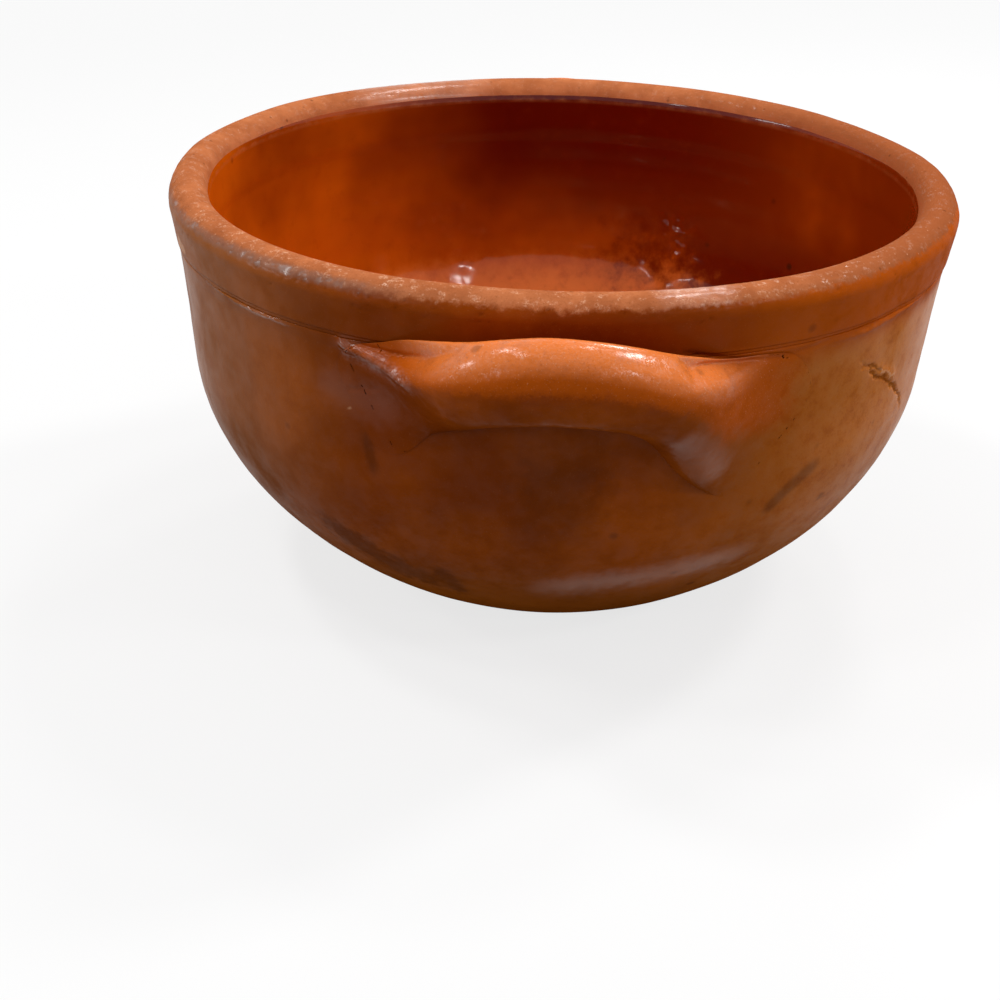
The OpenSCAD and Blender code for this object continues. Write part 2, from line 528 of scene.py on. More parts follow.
TEAR = ((43.8, 84.8), (44.9, 82.3), (46.7, 80), (48.5, 77.7), (50.8, 75.4), (53.1, 73.4))
TEAR += ((55.3, 71.1), (57, 69.4), (59.6, 66.2), (61.4, 63.2), (62.1, 60.5), (63.8, 57.1))
TEAR_EDGE = ((48.5, 79.2), (50.8, 77.2), (53.1, 75.2), (55.6, 73), (58, 70.8))
FOLD = ((-28.4, 91), (-27.2, 90.5), (-25.9, 89.9), (-23.9, 89.4), (-21.9, 88.7), (-20, 88.1))
FOLD += ((-18.4, 87.4), (-16.6, 86.6), (-14.6, 86.4))
SLIT_LEFT = ((-30, 92.4), (-24, 91), (-20.2, 90.4), (-17.7, 91), (-14.2, 93.2))
SLIT_RIGHT = ((15, 94), (18.1, 92.7), (20.5, 91.6), (23.6, 90.3), (28.1, 89.6))


@dataclass(frozen=True)
class HandMarks:
    """Tears, folds, runs and stains on the outside, with painted light and shade among them, each where the
    photograph has it.
    """

    tear: tuple[Stroke, ...] = (
        Stroke(TEAR, 0.45 * MM, -0.6 * MM, 0.9 * MM, 0.35),
        Stroke(((46.7, 80), (48.7, 79.1), (51.1, 76.7)), 0.35 * MM, -0.35 * MM, 0.8 * MM),
    )
    relief: tuple[Stroke, ...] = (
        Stroke(TEAR_EDGE, 1.2 * MM, 0.35 * MM, 0.6 * MM, 0.3),
        Stroke(FOLD, 1.3 * MM, 1.05 * MM, 0.25 * MM, 0.25, True),
        Stroke(((-29, 91.4), (-26.5, 90.6), (-24, 89.6)), 2 * MM, 0.55 * MM, 0, 0.4, True),
        Stroke(((-28, 87), (-21, 85), (-13, 83.6)), 4.2 * MM, 0.8 * MM, 0, 0.3, True),
        Stroke(SLIT_LEFT, 0.7 * MM, -0.6 * MM, 0, 0.3, True),
        Stroke(SLIT_RIGHT, 0.7 * MM, -0.8 * MM, 0, 0.2, True),
        Stroke(
            ((26, 90), (29, 89.6), (34.8, 90.2), (39.5, 91.8)),
            0.8 * MM,
            -0.35 * MM,
            0.3 * MM,
            0.25,
            True,
        ),
        Stroke(
            ((-60, 93.6), (-54.7, 92), (-47, 91.2), (-39, 91.2), (-33, 91.1)),
            0.5 * MM,
            0.3 * MM,
            0.3 * MM,
            0.3,
        ),
        Stroke(
            ((33, 90.6), (43.7, 90.3), (50, 90.8), (56, 91.5), (64, 92.6)),
            0.7 * MM,
            0.34 * MM,
            0.3 * MM,
            0.3,
        ),
        Stroke(((34, 92.4), (43.7, 92), (50, 92.4), (56, 93)), 0.7 * MM, -0.2 * MM, 0.3 * MM, 0.3),
        Stroke(
            ((-27.2, 79.5), (-25.7, 79.8), (-23.5, 80.6), (-21.7, 81.9)),
            0.45 * MM,
            -0.22 * MM,
            0.5 * MM,
        ),
    )
    dark: tuple[Stroke, ...] = (
        Stroke(((41.5, 60.6), (37.3, 56.6), (34.3, 52.5), (31, 46)), 2.2 * MM, fade=0.25),
        Stroke(((-25.4, 72), (-24.6, 66.5), (-24, 61.4), (-23.7, 55)), 1.6 * MM, fade=0.35),
        Stroke(((-40, 44), (-33, 34), (-24, 27), (-12, 22)), 5 * MM, torn=3 * MM, fade=0.3),
        Stroke(((-30, 40), (-28, 30), (-25, 20)), 3 * MM, torn=1.5 * MM, fade=0.3),
        Stroke(((-18, 34), (-16, 26), (-15, 17)), 3.4 * MM, torn=1.5 * MM, fade=0.3),
        Stroke(((44.4, 48.5), (43.6, 45.5)), 2 * MM, torn=1 * MM, fade=0.4),
    )
    # Pale marks: a pale line along the tear's raised edge, and painted sheen in a pale bloom on the left
    # pad and a pale patch high on the left wall.
    dusty: tuple[Stroke, ...] = (
        Stroke(TEAR_EDGE, 0.4 * MM, torn=0.9 * MM, fade=0.3),
        Stroke(((-27.8, 74.8), (-26.8, 74.3), (-25.8, 73.6)), 0.35 * MM, torn=0.3 * MM, fade=0.3),
        Stroke(((-70, 93), (-66, 95.4), (-61, 95)), 1.8 * MM, torn=1 * MM, fade=0.3),
    )
    wet: tuple[Stroke, ...] = (
        Stroke(FOLD, 2.6 * MM, torn=0.6 * MM, fade=0.2, on_handles=True),
        Stroke(((-48, 91.1), (-40, 91.1), (-34, 91)), 0.6 * MM, torn=0.3 * MM, fade=0.3),
    )
    # Painted shade on the band between the lip and the handle.
    shaded: tuple[Stroke, ...] = (
        Stroke(((-16, 95), (0, 96.8), (20, 95)), 4.2 * MM, torn=1 * MM, fade=0.35),
    )
    # Border, as azimuth and height, above which the lit top of the coil and its pads is painted brighter as
    # painted light.
    orange: tuple[tuple[float, float], ...] = (
        (-28, 91),
        (-23.4, 89.6),
        (-19.1, 88.4),
        (-17, 87.5),
        (-14.5, 87.8),
        (-10.2, 90.4),
        (-6.9, 92.1),
        (0.8, 93.5),
        (4.6, 92.9),
        (8.6, 91.1),
        (15.7, 84.9),
        (18, 79.7),
        (21, 74),
        (30, 72),
    )
    satin: tuple[Stroke, ...] = (
        Stroke(((-34, 81), (-26, 78), (-17, 75)), 5.5 * MM, torn=2 * MM, fade=0.3, on_handles=True),
        Stroke(((13, 80), (18, 72), (23, 62)), 4.5 * MM, torn=1 * MM, fade=0.2, on_handles=True),
        Stroke(((-9, 81), (0, 84), (10, 81)), 2.2 * MM, torn=1 * MM, fade=0.3, on_handles=True),
        Stroke(((-6, 27), (8, 31), (24, 34), (38, 36)), 4 * MM, torn=1.5 * MM, fade=0.3),
    )
    # Painted shade on the wall under the front handle.
    smoked: tuple[Stroke, ...] = (Stroke(((-7, 62), (11, 62)), 15 * MM, torn=4 * MM, fade=0.35),)

    @staticmethod
    def total(strokes: tuple[Stroke, ...], form: BowlForm, places: Points) -> np.ndarray:
        """The strongest of these lines at each place, from 0 to 1."""
        return np.max([stroke.cover(form, places) for stroke in strokes], axis=0)


@dataclass(frozen=True)
class PottersHand:
    """Everything that makes the round outline hand-made, shared by all the pieces."""

    form: BowlForm
    marks: HandMarks = field(default_factory=HandMarks)
    flat_azimuth: float = -82
    flat_width: float = 30
    flat_depth: float = 1.3 * MM
    lip_dip: float = 0.7 * MM
    wall_lumps: float = 0.28 * MM
    inner_lumps: float = 0.16 * MM

    def outer_share(self, places: Points) -> np.ndarray:
        """1 on the outer skin, 0 on the inner one, between them inside the clay."""
        height = places[:, 2]
        face, back = self.form.outer_face(height), self.form.inner_face(height)
        share = np.clip((radius_of(places) - back) / np.maximum(face - back, 2 * MM), 0, 1)
        return np.where(height < self.form.floor_t - MM, 1.0, share)

    def warp(self, places: Points) -> Points:
        """Out of round and dipping lip, the same for every piece.

        Args:
            places: Rows of x, y, z of the true round form.

        Returns:
            The moved rows.
        """
        azimuth, height = azimuth_of(places), places[:, 2]
        up = smooth(25 * MM, 95 * MM, height)
        flat = hump(turned(azimuth, self.flat_azimuth), 0, self.flat_width)
        ring = np.stack([np.cos(np.radians(azimuth)), np.sin(np.radians(azimuth))], 1)
        wave = lumps(np.hstack([ring, 0 * ring[:, :1]]), 1.1, 2, 3)
        shrink = up * (self.flat_depth * flat + 0.25 * MM * (1 + wave))
        radius = np.maximum(radius_of(places), 1e-9)
        scale = 1 - shrink * smooth(0, 40 * MM, radius) / radius
        dip = lumps(np.hstack([ring, 0 * ring[:, :1]]), 0.8, 2, 8)
        drop = self.lip_dip * np.clip(0.5 + dip, 0, 1) * smooth(70 * MM, 100 * MM, height)
        moved = places * np.stack([scale, scale, np.ones_like(scale)], 1)
        moved[:, 2] -= drop
        return moved

    def groove_share(self, azimuth: np.ndarray) -> np.ndarray:
        """How open the groove at the seam is left, from 0 to 1."""
        sides = smooth(58, 90, np.abs(azimuth))
        back = smooth(130, 150, np.abs(azimuth))
        return 0.06 + 0.3 * sides * (1 - 0.5 * back)

    def outer_rise(self, places: Points) -> np.ndarray:
        """How far the outer skin rises out of its true form, in metres."""
        form = self.form
        azimuth, height = azimuth_of(places), places[:, 2]
        rise = self.wall_lumps * lumps(places, 26 * MM, 2, 1)
        rise += 0.08 * MM * lumps(places, 7 * MM, 3, 2)
        rise *= smooth(2 * MM, 12 * MM, height)
        line = form.neck_r + smooth(-3 * MM, 3 * MM, height - form.seam_z) * form.band_step
        gap = np.clip(line - radius_of(places), 0, 1.2 * MM)
        near = smooth(3.2 * MM, 1.6 * MM, np.abs(height - form.seam_z))
        rise += gap * near * (1 - self.groove_share(azimuth))
        for stroke in self.marks.tear + self.marks.relief:
            rise += stroke.rise * stroke.cover(form, places)
        return rise

    def orange_light_share(self, places: Points, on_coil: bool) -> np.ndarray:
        """Share of painted light, from 0 to 1: the lit top of the coil and its pads and the right side of
        the wall painted brighter and more orange.

        Args:
            places: Rows of x, y, z.
            on_coil: Whether they are on a handle and not on the wall.

        Returns:
            One number for each place.
        """
        azimuth, height = azimuth_of(places), places[:, 2]
        # Painted light: the right side of the wall painted brighter.
        side = 0.25 * smooth(5, 40, azimuth) * smooth(120, 80, azimuth)
        azimuth = turned(azimuth, np.where(np.abs(azimuth) > 90, 180, 0))
        # Painted light: above this border the lit top of the coil and its pads is painted brighter.
        knots = np.array(self.marks.orange)
        border = np.interp(azimuth, knots[:, 0], knots[:, 1]) * MM
        blur = 2.2 * MM + 3 * MM * smooth(12, 20, azimuth)
        coil = smooth(-1, 1, (height - border) / blur) * smooth(40, 26, azimuth)
        if on_coil:
            coil *= smooth(-30, -24, azimuth)
        else:
            coil *= smooth(12, 22, azimuth) * smooth(95 * MM, 91 * MM, height)
        return np.maximum(side, 0.9 * coil)

    def stains(self, places: Points, on_coil: bool = False) -> dict[str, np.ndarray]:
        """Numbers that the finishes of the outside read, by name.

        Args:
            places: Rows of x, y, z.
            on_coil: Whether they are on a handle and not on the wall.

        Returns:
            The tear, the dark, dust-and-sheen, gloss and shade marks, painted shade under the handle and on
            the band, and the painted orange light.
        """
        marks, form = self.marks, self.form
        skin = 1.0 if on_coil else self.outer_share(places) > 0.9
        return {
            "hollow": marks.total(marks.tear, form, places) * skin,
            "dark": marks.total(marks.dark, form, places) * skin,
            "smoked": marks.total(marks.smoked, form, places) * skin,
            "dusty": marks.total(marks.dusty, form, places) * skin,
            "wet": marks.total(marks.wet, form, places) * skin,
            "satin": marks.total(marks.satin, form, places) * skin,
            "shaded": marks.total(marks.shaded, form, places) * skin,
            "warm": self.orange_light_share(places, on_coil),
        }

    def inner_rise(self, places: Points) -> np.ndarray:
        """How far the inner skin rises towards the axis, in metres."""
        azimuth, height = azimuth_of(places), places[:, 2]
        rise = self.inner_lumps * lumps(places, 24 * MM, 2, 11)
        rise += 0.07 * MM * lumps(places, 5 * MM, 2, 16) * smooth(62 * MM, 48 * MM, height)
        rings = np.sin(height / (7.5 * MM) * 2 * math.pi + 1.5 * lumps(places, 60 * MM, 1, 12))
        rise += 0.05 * MM * rings * smooth(30 * MM, 50 * MM, height)
        for middle in (-22, 23, 158, -157):
            spot = hump(turned(azimuth, middle), 0, 9) * hump(height, 62 * MM, 10 * MM)
            rise += 0.5 * MM * spot * (1 + 0.8 * lumps(places, 5 * MM, 2, 13))
        around = hump(turned(azimuth, 155), 0, 3.6)
        rise += 0.8 * MM * around * hump(height, 54 * MM, 10 * MM)
        crinkled = around * hump(height, 64 * MM, 9 * MM)
        return rise + 0.4 * MM * crinkled * lumps(places, 2.4 * MM, 2, 14)

    def sculpt(self, places: Points) -> Points:
        """Move the points of the body, the rim coil or the glaze as the hand did.

        Args:
            places: Rows of x, y, z of the true round form.

        Returns:
            The moved rows, out of round as well.
        """
        outer = self.outer_share(places)
        level = smooth(14 * MM, 30 * MM, places[:, 2])
        inward = self.inner_rise(places) * (1 - outer) * level
        outward = self.outer_rise(places) * outer
        radius = np.maximum(radius_of(places), 1e-9)
        scale = 1 + (outward - inward) / radius
        moved = places * np.stack([scale, scale, np.ones_like(scale)], 1)
        return self.warp(moved)


# Pieces


class Slot(Enum):
    """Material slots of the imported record."""

    BODY = "body_clay"
    RIM = "rim_clay"
    HANDLE = "handle_clay"
    GLAZE = "inner_glaze"


def seat(piece: bpy.types.Object, node: str) -> bpy.types.Object:
    """Put a finished piece in the place of its node of the model."""
    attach(piece, "root")
    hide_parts(node)
    LOG.info("%s: %d faces", piece.name, len(piece.data.polygons))
    return piece


@dataclass
class Body:
    """The thrown body: floor, belly and wall in one piece of clay."""

    form: BowlForm
    hand: PottersHand
    turns: int = 480
    tear_zone: Zone = (43, 65, 56 * MM, 86 * MM)
    fold_zone: Zone = (-31, -12, 80 * MM, 92 * MM)
    bead_zones: tuple[Zone, Zone] = ((-62, -32, 88 * MM, 92 * MM), (32, 65, 88 * MM, 92 * MM))

    def build(self) -> bpy.types.Object:
        """Throw the body and mark it by hand."""
        piece = Bench.throw("thrown_body", self.form.body_outline(), self.turns)
        beads = tuple((zone, 2) for zone in self.bead_zones)
        for zone, cuts in ((self.tear_zone, 3), (self.fold_zone, 2), *beads):
            on_skin = self.hand.outer_share(Bench.places(piece)) > 0.9
            Bench.refine(piece, inside_zone(Bench.places(piece), zone) & on_skin, cuts)
        places = Bench.places(piece)
        for name, values in self.hand.stains(places).items():
            Bench.mark(piece, name, values)
        Bench.move(piece, self.hand.sculpt(places))
        Bench.tidy(piece)
        return piece


@dataclass
class RimBand:
    """The coil luted on the edge of the body and rounded into the lip."""

    form: BowlForm
    hand: PottersHand
    turns: int = 1000
    gap: float = 0.44 * MM
    pit_depth: float = 0.26 * MM
    chip_depth: float = 0.4 * MM

    def build(self) -> bpy.types.Object:
        """Turn the coil and wear its lip."""
        piece = Bench.throw("rim_coil", self.form.band_outline(self.gap), self.turns)
        places = Bench.places(piece)
        loss = self.loss(places)
        stains = self.hand.stains(places) | {"hollow": np.clip(loss / self.chip_depth, 0, 1)}
        for name, values in stains.items():
            Bench.mark(piece, name, values)
        centre_r, centre_z = self.form.lip_centre
        out = np.stack([radius_of(places) - centre_r, places[:, 2] - centre_z], 1)
        out /= np.maximum(np.linalg.norm(out, axis=1), 1e-9)[:, None]
        worn = places - self.along(places, out) * loss[:, None]
        Bench.move(piece, self.hand.sculpt(worn))
        Bench.tidy(piece)
        return piece

    @staticmethod
    def along(places: Points, out: np.ndarray) -> Points:
        """Directions in space from directions in the outline."""
        radius = np.maximum(radius_of(places), 1e-9)
        flat = places[:, :2] / radius[:, None] * out[:, :1]
        return np.hstack([flat, out[:, 1:]])

    def loss(self, places: Points) -> np.ndarray:
        """How much clay the lip has lost at each place, in metres."""
        centre_r, centre_z = self.form.lip_centre
        angle = np.degrees(np.arctan2(places[:, 2] - centre_z, radius_of(places) - centre_r))
        azimuth = azimuth_of(places)
        on_lip = smooth(-35, -5, angle) * smooth(158, 136, angle)
        fine = lumps(places, 1.1 * MM, 3, 21)
        coarse = lumps(places, 4 * MM, 2, 22)
        pits = self.pit_depth * smooth(0.2, 0.85, fine) * smooth(-0.3, 0.5, coarse)
        scuffed = smooth(-88, -66, azimuth) * smooth(-14, -32, azimuth)
        border = hump(angle, 38 + 22 * lumps(places, 9 * MM, 3, 23), 14)
        border *= smooth(-0.25, 0.3, lumps(places, 11 * MM, 2, 27))
        chips = self.chip_depth * scuffed * border * smooth(-0.1, 0.7, lumps(places, 3 * MM, 4, 24))
        front = 0.4 * self.chip_depth * hump(angle, 38, 14) * smooth(0.1, 0.7, lumps(places, 2 * MM, 3, 25))
        splash = smooth(-170, -160, azimuth) * smooth(-136, -146, azimuth)
        shine = smooth(11, 15, azimuth) * smooth(24, 20, azimuth)
        rough = 0.12 * MM * np.maximum(splash, shine) * (0.5 + 0.5 * lumps(places, 1.4 * MM, 2, 26))
        return on_lip * (pits + chips + front + rough)


@dataclass
class Glaze:
    """The coat of glaze poured inside and wiped off the lip."""

    form: BowlForm
    hand: PottersHand
    turns: int = 540
    gap: float = 1.35 * MM
    crinkled_zone: Zone = (147, 163, 48 * MM, 80 * MM)

    def build(self) -> bpy.types.Object:
        """Pour the coat and let it follow the clay."""
        piece = Bench.throw("poured_glaze", self.form.glaze_outline(self.gap), self.turns)
        Bench.refine(piece, inside_zone(Bench.places(piece), self.crinkled_zone), 1)
        Bench.move(piece, self.hand.sculpt(Bench.places(piece)))
        Bench.tidy(piece)
        return piece


class Side(Enum):
    """Sides of the bowl that carry a handle, as a turn about its axis."""

    FRONT = 0.0
    REAR = 180.0


@dataclass
class CoilHandle:
    """A rolled coil, bent into an arch and pressed on the wall at both ends.

    Pairs of numbers are for its left and its right end.
    """

    form: BowlForm
    hand: PottersHand
    side: Side
    coil_drop: float = 12.7 * MM
    coil_h: float = 18.2 * MM
    coil_t: float = 13.5 * MM
    finger_gap: float = 6.2 * MM
    coil_pull: tuple[float, float] = (12 * MM, 22 * MM)
    end_reach: tuple[float, float] = (45 * MM, 52 * MM)
    end_drop: tuple[float, float] = (15.5 * MM, 28.5 * MM)
    end_angle: tuple[float, float] = (22, 38)
    end_pull: float = 19 * MM
    pad_w: tuple[float, float] = (23 * MM, 29 * MM)
    pad_t: float = 7 * MM
    sink: float = 0.02 * MM
    lift_share: tuple[tuple[float, float], ...] = ((0.08, 0.76), (0.05, 0.65))
    spread_share: tuple[float, float] = (0.25, 0.75)
    smear_share: tuple[tuple[float, float], ...] = ((0.45, 0.92), (0.6, 0.97))
    soft_above: tuple[tuple[float, float], ...] = ((0.7, 0.95), (0.45, 0.75))
    soft_below: tuple[tuple[float, float], ...] = ((0.7, 0.95), (0.88, 1.0))
    crest_shift: tuple[float, float] = (0.3, -0.72)
    shift_share: tuple[float, float] = (0.4, 0.85)
    slit_flank: tuple[float, float] = (4 * MM, 3 * MM)
    facet_angle: tuple[float, float] = (9, 47)
    facet_share: tuple[float, float] = (0.32, 0.15)
    facet_press: tuple[float, float] = (0.0, 0.9)
    firm: float = 1.1
    soft: float = 4.0
    feather: float = 0.3
    tip_w: float = 0.55
    skin_lumps: float = 0.09 * MM
    cuts: tuple[int, ...] = (63, 3)
    sides: int = 128

    @property
    def turn(self) -> Points:
        """Turn from the front of the bowl to this side."""
        return np.array(Matrix.Rotation(math.radians(self.side.value), 3, "Z"))

    def build(self) -> bpy.types.Object:
        """Roll the coil, press it on and turn it to its side of the bowl."""
        piece = Bench.roll(f"{self.side.name.lower()}_coil_handle", self.cuts, self.sides)
        rolled = Bench.places(piece)
        pressed = self.press(rolled) @ self.turn.T
        stains = self.hand.stains(pressed, on_coil=True)
        # Painted light: the upward-facing top of the coil is marked to be painted in a lit colour, and it
        # is glossier as well.
        facing_up = smooth(0.25, 0.85, rolled[:, 2]) * smooth(0.75, 0.4, np.abs(rolled[:, 0]))
        stains["rubbed"] = facing_up
        stains["wet"] = np.maximum(stains["wet"], facing_up)
        for name, values in stains.items():
            Bench.mark(piece, name, values)
        Bench.move(piece, self.hand.warp(pressed))
        Bench.tidy(piece)
        return piece

    def centre_line(self, t: np.ndarray, k: int) -> tuple[Points, Points]:
        """Middle of the coil and its direction, along and up the wall.

        Args:
            t: Share of the half length, from the middle of the handle to its end.
            k: 0 for the left half and 1 for the right one.

        Returns:
            Rows of places and rows of unit directions.
        """
        form = self.form
        middle = np.array([0, form.height - self.coil_drop])
        end = np.array([self.end_reach[k], form.seam_z - self.end_drop[k]])
        level = middle + np.array([self.coil_pull[k], 0])
        runout = end - self.end_pull * heading(-self.end_angle[k])
        t = t[:, None]
        at = (1 - t) ** 3 * middle + 3 * (1 - t) ** 2 * t * level
        at += 3 * (1 - t) * t**2 * runout + t**3 * end
        run = 3 * (1 - t) ** 2 * (level - middle) + 6 * (1 - t) * t * (runout - level)
        run += 3 * t**2 * (end - runout)
        return at, run / np.linalg.norm(run, axis=1)[:, None]

    def press(self, rolled: Points) -> Points:
        """Bend the straight coil and press its ends on the wall.

        Args:
            rolled: Points of the coil along X from -1 to 1, with radius 1.

        Returns:
            Rows of x, y, z on the front of the bowl.
        """
        moved = np.empty_like(rolled)
        for k, sign in enumerate((-1, 1)):
            mine = rolled[:, 0] * sign >= 0 if k else rolled[:, 0] < 0
            moved[mine] = self.press_half(rolled[mine], k, sign)
        return moved

    def press_half(self, rolled: Points, k: int, sign: int) -> Points:
        """Press one half of the coil; k and sign tell which."""
        t = np.abs(rolled[:, 0])
        cosine, sine = rolled[:, 2], -rolled[:, 1]
        size = np.maximum(np.hypot(cosine, sine), 1e-9)
        rim = np.minimum(size, 1)
        cosine, sine = self.rubbed_flat(cosine / size, sine / size, t, k)
        at, run = self.centre_line(t, k)
        across = np.stack([-run[:, 1], run[:, 0]], 1)
        lift = 1 - smooth(*self.lift_share[k], t)
        spread = smooth(*self.spread_share, t)
        top = self.crest_shift[k] * smooth(*self.shift_share, t)
        upper = cosine * rim > top
        softness = np.where(upper, smooth(*self.soft_above[k], t), smooth(*self.soft_below[k], t))
        tip = np.sqrt(1 - (1 - np.clip((1 - t) / (1 - self.spread_share[1]), 0, 1)) ** 2)
        half_w = (self.coil_h + (self.pad_w[k] - self.coil_h) * spread) / 2
        half_w *= self.tip_w + (1 - self.tip_w) * tip
        crest = self.coil_t + (self.pad_t - self.coil_t) * spread
        crest *= 1 - smooth(*self.smear_share[k], t)
        up = top + (cosine * rim - top) * (1 + self.feather * softness)
        place = at + (half_w * up)[:, None] * across
        along, height = sign * place[:, 0], place[:, 1]
        flank = self.firm + (self.soft - self.firm) * softness
        away = (cosine * rim - top) / np.where(upper, 1 - top, 1 + top)
        swell = np.sqrt(np.maximum(1 - away**2, 0)) * (sine > 0)
        loose = self.finger_gap + self.coil_t / 2 * (1 + sine * rim)
        pressed = crest * swell**flank * self.under_slit(along, height, k) - self.sink
        out = pressed + (loose - pressed) * lift
        return self.on_wall(along, height, out, lift, at[:, 1])

    def rubbed_flat(
        self, cosine: np.ndarray, sine: np.ndarray, t: np.ndarray, k: int
    ) -> tuple[np.ndarray, np.ndarray]:
        """Round section with a facet rubbed on its upper outer side.

        Args:
            cosine: Upward part of each point of the round section.
            sine: Outward part.
            t: Share of the half length.
            k: 0 for the left half and 1 for the right one.

        Returns:
            The two parts with the facet.
        """
        low, high = np.radians(self.facet_angle)
        u = np.clip((np.arctan2(sine, cosine) - low) / (high - low), 0, 1)
        press = self.facet_press[k] * hump(t, *self.facet_share) * (1 - np.abs(2 * u - 1) ** 6)
        flat_up = math.cos(low) + (math.cos(high) - math.cos(low)) * u
        flat_out = math.sin(low) + (math.sin(high) - math.sin(low)) * u
        return cosine + (flat_up - cosine) * press, sine + (flat_out - sine) * press

    def under_slit(self, along: np.ndarray, height: np.ndarray, k: int) -> np.ndarray:
        """1 on the pressed end, falling steeply to 0 at the slit along its upper edge."""
        azimuth = np.degrees(along / self.form.neck_r)
        slit = np.array([*SLIT_LEFT, (-10, 98), (-6, 104), (10, 104), *SLIT_RIGHT, (50, 84)])
        below = np.interp(azimuth, slit[:, 0], slit[:, 1]) * MM - height
        return np.sqrt(1 - (1 - np.clip(below / self.slit_flank[k], 0, 1)) ** 2)

    def on_wall(
        self,
        along: np.ndarray,
        height: np.ndarray,
        out: np.ndarray,
        lift: np.ndarray,
        middle: np.ndarray,
    ) -> Points:
        """Places from lengths along the wall, up it and out from it.

        Args:
            along: Length round the wall from the middle of the handle.
            height: Height above the table.
            out: Distance from the wall.
            lift: 1 where the coil stands off level, 0 where it lies on the wall.
            middle: Height of the middle of the coil there.

        Returns:
            Rows of x, y, z.
        """
        heights, radii = self.form.wall_face()
        slope = np.interp(height - 0.5 * MM, heights, radii)
        slope -= np.interp(height + 0.5 * MM, heights, radii)
        normal = np.stack([np.full_like(slope, MM), slope], 1)
        normal /= np.linalg.norm(normal, axis=1)[:, None]
        normal += (np.array([1, 0]) - normal) * lift[:, None]
        normal /= np.linalg.norm(normal, axis=1)[:, None]
        radius = np.interp(height + (middle - height) * lift, heights, radii)
        angle = along / self.form.neck_r - math.pi / 2
        foot = np.stack([radius * np.cos(angle), radius * np.sin(angle), height], 1)
        uneven = self.hand.outer_rise(foot @ self.turn.T) * (1 - lift)
        uneven += self.skin_lumps * lumps(foot, 1.7 * MM, 3, 51) * smooth(MM, 5 * MM, out)
        radius = radius + (out + uneven) * normal[:, 0]
        height = height + out * normal[:, 1]
        return np.stack([radius * np.cos(angle), radius * np.sin(angle), height], 1)


# Shader arithmetic


class Amount:
    """A number that changes over the surface; arithmetic on it adds Math nodes."""

    def __init__(self, recipe: Recipe, socket: bpy.types.NodeSocket) -> None:
        """Wrap one socket of the recipe's tree."""
        self.recipe = recipe
        self.socket = socket

    def _math(self, operation: str, *values: Amount | float) -> Amount:
        """One Math node on these values."""
        made = self.recipe.node("ShaderNodeMath", {"operation": operation}, dict(enumerate(values)))
        return Amount(self.recipe, made.outputs[0])

    def __add__(self, other: Amount | float) -> Amount:
        """Sum."""
        return self._math("ADD", self, other)

    def __radd__(self, other: float) -> Amount:
        """Sum, the number first."""
        return self._math("ADD", other, self)

    def __sub__(self, other: Amount | float) -> Amount:
        """Difference."""
        return self._math("SUBTRACT", self, other)

    def __rsub__(self, other: float) -> Amount:
        """Difference, the number first."""
        return self._math("SUBTRACT", other, self)

    def __mul__(self, other: Amount | float) -> Amount:
        """Product."""
        return self._math("MULTIPLY", self, other)

    def __rmul__(self, other: float) -> Amount:
        """Product, the number first."""
        return self._math("MULTIPLY", other, self)

    def __truediv__(self, other: Amount | float) -> Amount:
        """Quotient."""
        return self._math("DIVIDE", self, other)

    def __pow__(self, other: Amount | float) -> Amount:
        """Power."""
        return self._math("POWER", self, other)

    def above(self, other: Amount | float) -> Amount:
        """The larger of the two."""
        return self._math("MAXIMUM", self, other)

    def below(self, other: Amount | float) -> Amount:
        """The smaller of the two."""
        return self._math("MINIMUM", self, other)

    def size(self) -> Amount:
        """The number without its sign."""
        return self._math("ABSOLUTE", self)

    def rise(self, low: float, high: float) -> Amount:
        """Soft step from 0 at low to 1 at high; it falls where high is the smaller."""
        up = high > low
        made = self.recipe.node(
            "ShaderNodeMapRange",
            {"interpolation_type": "SMOOTHSTEP"},
            {
                "Value": self,
                "From Min": min(low, high),
                "From Max": max(low, high),
                "To Min": 0.0 if up else 1.0,
                "To Max": 1.0 if up else 0.0,
            },
        )
        return Amount(self.recipe, made.outputs["Result"])


Shade = bpy.types.NodeSocket | tuple[float, float, float]


def paint(red: int, green: int, blue: int) -> Colour:
    """Linear colour from the three numbers, 0 to 255, that a screen shows."""

    def linear(level: int) -> float:
        """One channel."""
        part = level / 255
        return part / 12.92 if part <= 0.04045 else ((part + 0.055) / 1.055) ** 2.4

    return linear(red), linear(green), linear(blue)


@dataclass
class Look:
    """What a finish says about the surface at each place."""

    colour: Shade
    roughness: Amount | float
    coat: Amount | float
    relief: Amount


